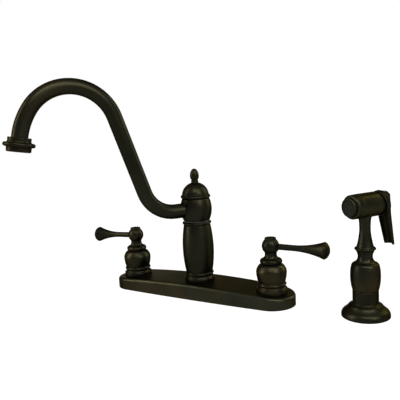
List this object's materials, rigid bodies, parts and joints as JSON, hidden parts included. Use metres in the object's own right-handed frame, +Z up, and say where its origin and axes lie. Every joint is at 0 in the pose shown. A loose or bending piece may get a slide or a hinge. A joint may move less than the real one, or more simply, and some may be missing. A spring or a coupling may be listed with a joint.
{
  "type": "kitchen faucet",
  "caption": "Kitchen faucet on a long deck plate with a high curved swivel spout, a lever handle on each side and a separate side sprayer in its own holder.",
  "frame": {"origin": "centre of the deck plate's underside, on the column's and spout's turning axis, in the plane of the sink deck", "axes": "+Z up along the column, +X along the deck plate towards the side sprayer, the user stands at -Y"},
  "size_m": [0.4086, 0.2275, 0.3288],
  "materials": {
    "oil_rubbed_bronze": "oil-rubbed bronze over brass, satin, warmer at worn edges",
    "plain_brass": "machined brass",
    "zinc_steel": "zinc plated",
    "stainless": "stainless steel",
    "copper": "drawn copper tube",
    "acetal": "moulded",
    "black_plastic": "moulded, black",
    "black_rubber": "moulded rubber"
  },
  "bodies": {
    "base": {"deck_plate": "oil_rubbed_bronze", "under_plate": "acetal", "deck_gasket": "black_rubber", "centre_post": "plain_brass", "diverter_sleeve": "plain_brass", "column_barrel": "oil_rubbed_bronze", "column_bearing_ring": "acetal", "lower_o_ring": "black_rubber", "upper_o_ring": "black_rubber", "hub_retainer_nut": "plain_brass", "sprayer_holder": "oil_rubbed_bronze", "holder_seal": "black_rubber", "holder_washer": "zinc_steel", "holder_nut": "zinc_steel", "left_valve_body": "plain_brass", "left_cartridge": "plain_brass", "left_shank_washer": "zinc_steel", "left_shank_nut": "zinc_steel", "left_bell": "oil_rubbed_bronze", "left_supply_tube": "copper", "right_valve_body": "plain_brass", "right_cartridge": "plain_brass", "right_shank_washer": "zinc_steel", "right_shank_nut": "zinc_steel", "right_bell": "oil_rubbed_bronze", "right_supply_tube": "copper"},
    "diverter": {"diverter_poppet": "acetal"},
    "spout": {"spout_hub": "oil_rubbed_bronze", "spout_tube": "oil_rubbed_bronze", "outlet_collar": "oil_rubbed_bronze", "aerator_shell": "oil_rubbed_bronze", "aerator_washer": "black_rubber", "aerator_screen": "acetal", "dome_cap": "oil_rubbed_bronze", "finial": "oil_rubbed_bronze"},
    "left_handle": {"left_handle_hub": "oil_rubbed_bronze", "left_handle_lever": "oil_rubbed_bronze", "left_handle_cap": "oil_rubbed_bronze", "left_handle_screw": "stainless", "left_valve_stem": "plain_brass"},
    "right_handle": {"right_handle_hub": "oil_rubbed_bronze", "right_handle_lever": "oil_rubbed_bronze", "right_handle_cap": "oil_rubbed_bronze", "right_handle_screw": "stainless", "right_valve_stem": "plain_brass"},
    "sprayer": {"sprayer_grip": "oil_rubbed_bronze", "sprayer_neck": "oil_rubbed_bronze", "sprayer_head": "oil_rubbed_bronze", "sprayer_front_cap": "oil_rubbed_bronze", "nozzle_ring": "oil_rubbed_bronze", "spray_face": "black_plastic", "hose_nipple": "plain_brass", "trigger_pin": "oil_rubbed_bronze", "plunger_spring": "stainless"},
    "trigger": {"trigger": "oil_rubbed_bronze"},
    "plunger": {"trigger_plunger": "stainless"}
  },
  "joints": [
    {"name": "spout_swivel", "type": "hinge", "parent": "base", "child": "spout", "pos_m": [0, 0, 0.1], "axis": [0, 0, 1], "continuous": true},
    {"name": "left_handle_turn", "type": "hinge", "parent": "base", "child": "left_handle", "pos_m": [-0.1016, 0, 0.06], "axis": [0, 0, 1], "range_deg": [0, 90]},
    {"name": "right_handle_turn", "type": "hinge", "parent": "base", "child": "right_handle", "pos_m": [0.1016, 0, 0.06], "axis": [0, 0, -1], "range_deg": [0, 90]},
    {"name": "diverter_lift", "type": "slide", "parent": "base", "child": "diverter", "axis": [0, 0, 1], "range_m": [0, 0.005]},
    {"name": "sprayer_lift", "type": "slide", "parent": "base", "child": "sprayer", "axis": [0, 0, 1], "range_m": [0, 0.15]},
    {"name": "trigger_pivot", "type": "hinge", "parent": "sprayer", "child": "trigger", "pos_m": [0.221, 0.02232, 0.1315], "axis": [-0.866, 0.5, 0], "range_deg": [0, 10], "stiffness_Nm_per_rad": 1.5, "springref_deg": -5.73},
    {"name": "plunger_slide", "type": "slide", "parent": "sprayer", "child": "plunger", "axis": [-0.5, -0.866, 0], "range_m": [0, 0.00158], "deforming": ["plunger_spring"]}
  ],
  "couplings": [
    {"joint": "plunger_slide", "follows": "trigger_pivot", "m_per_rad": 0.009}
  ]
}
